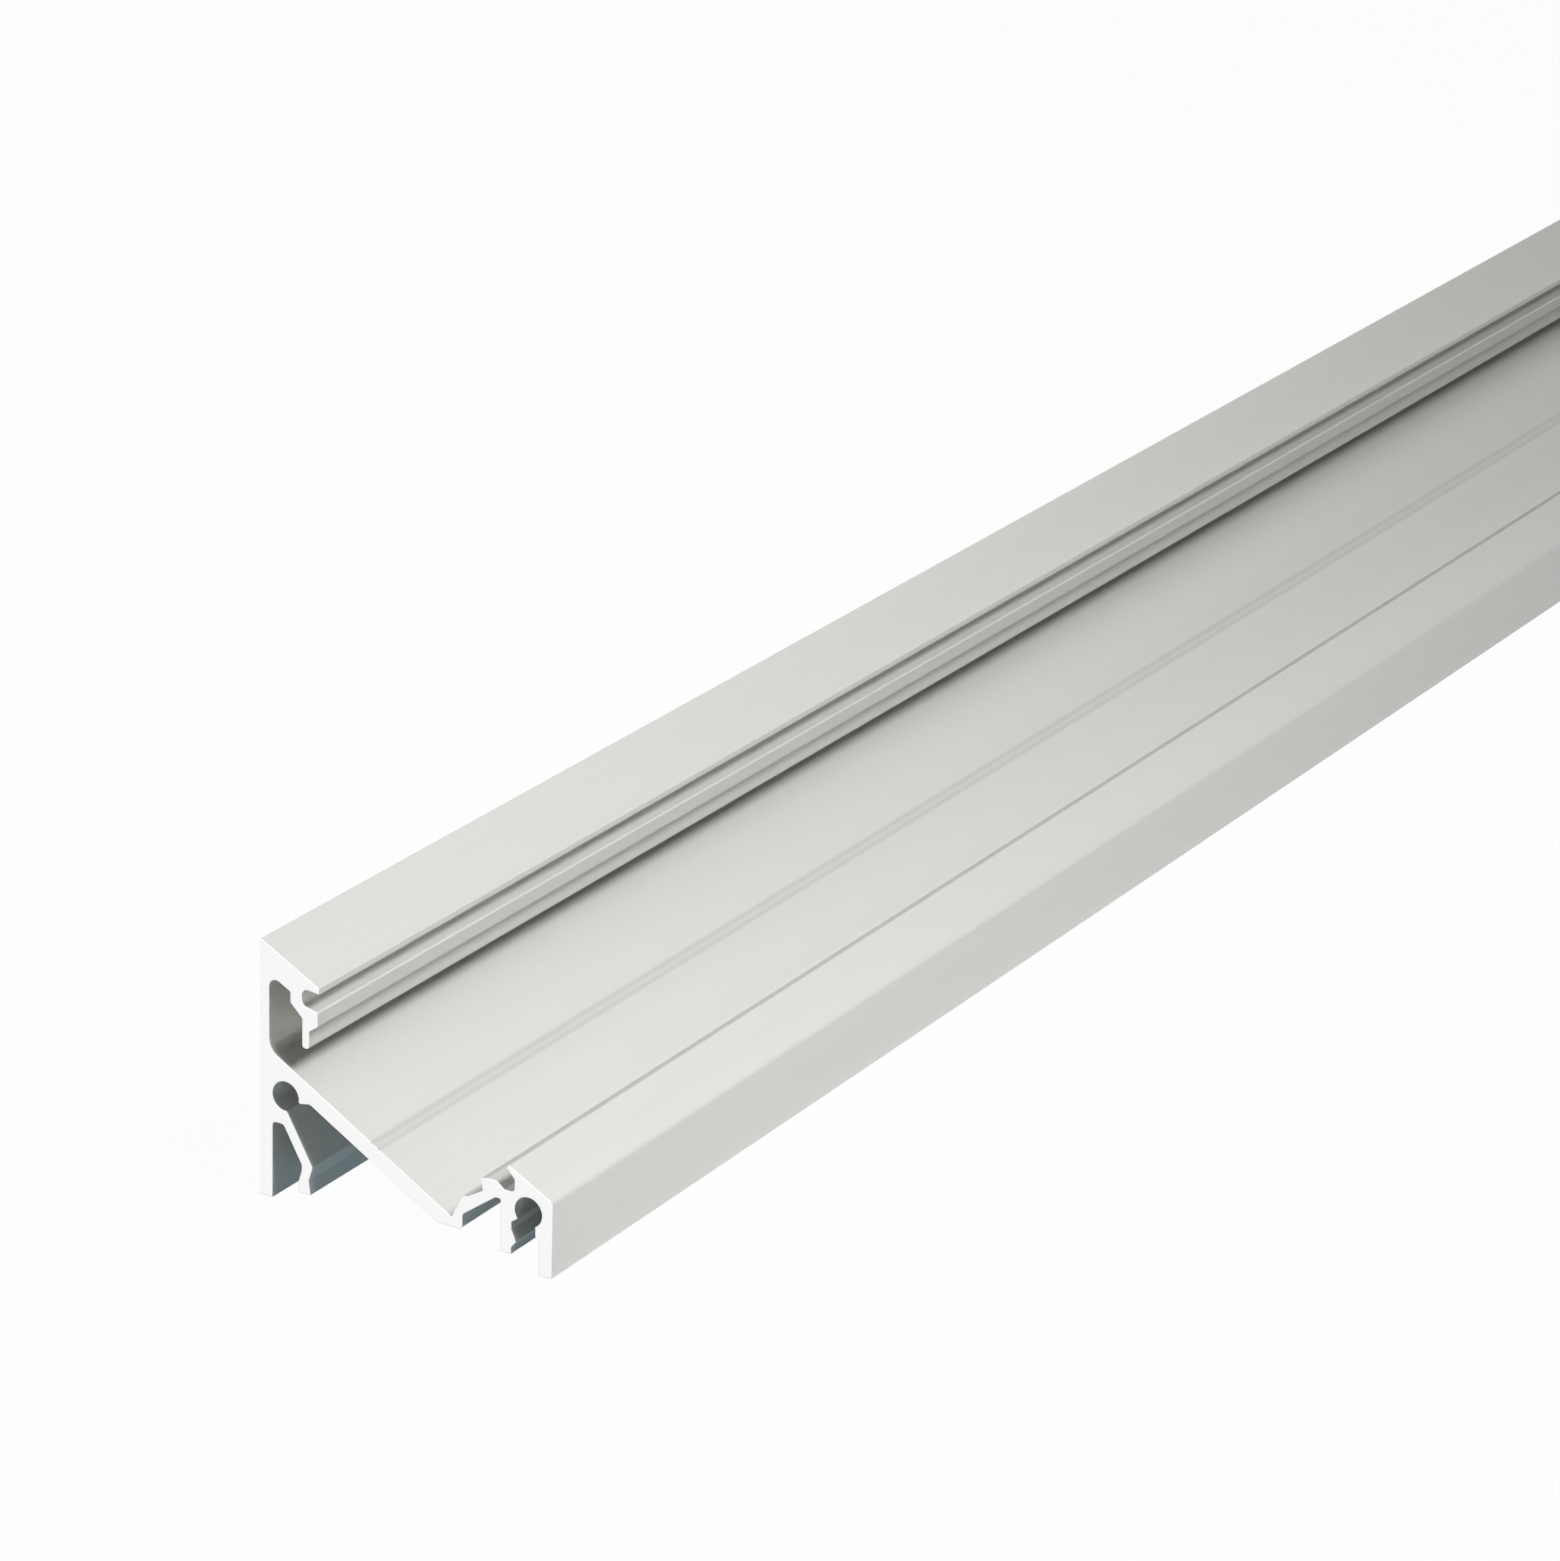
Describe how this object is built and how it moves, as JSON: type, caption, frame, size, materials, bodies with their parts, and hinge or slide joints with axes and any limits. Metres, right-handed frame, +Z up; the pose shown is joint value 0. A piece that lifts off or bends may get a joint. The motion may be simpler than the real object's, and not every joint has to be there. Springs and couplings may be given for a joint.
{
  "type": "corner LED strip profile",
  "caption": "Extruded aluminium corner profile for LED strip, with a sloped bed, snap-in cover grooves, clip ribs underneath and screw ports in the ends.",
  "frame": {"origin": "middle of the base rectangle: halfway along the bar, halfway across it, on the surface it stands on", "axes": "+Y along the bar away from the end seen in the picture, +X from the back wall to the front wall, +Z up from the surface that the two outer walls stand on"},
  "size_m": [0.034, 1, 0.0272],
  "materials": {
    "aluminium": "satin anodised, with fine lines along the bar and sawn ends"
  },
  "bodies": {
    "root": {"profile": "aluminium"}
  },
  "joints": []
}
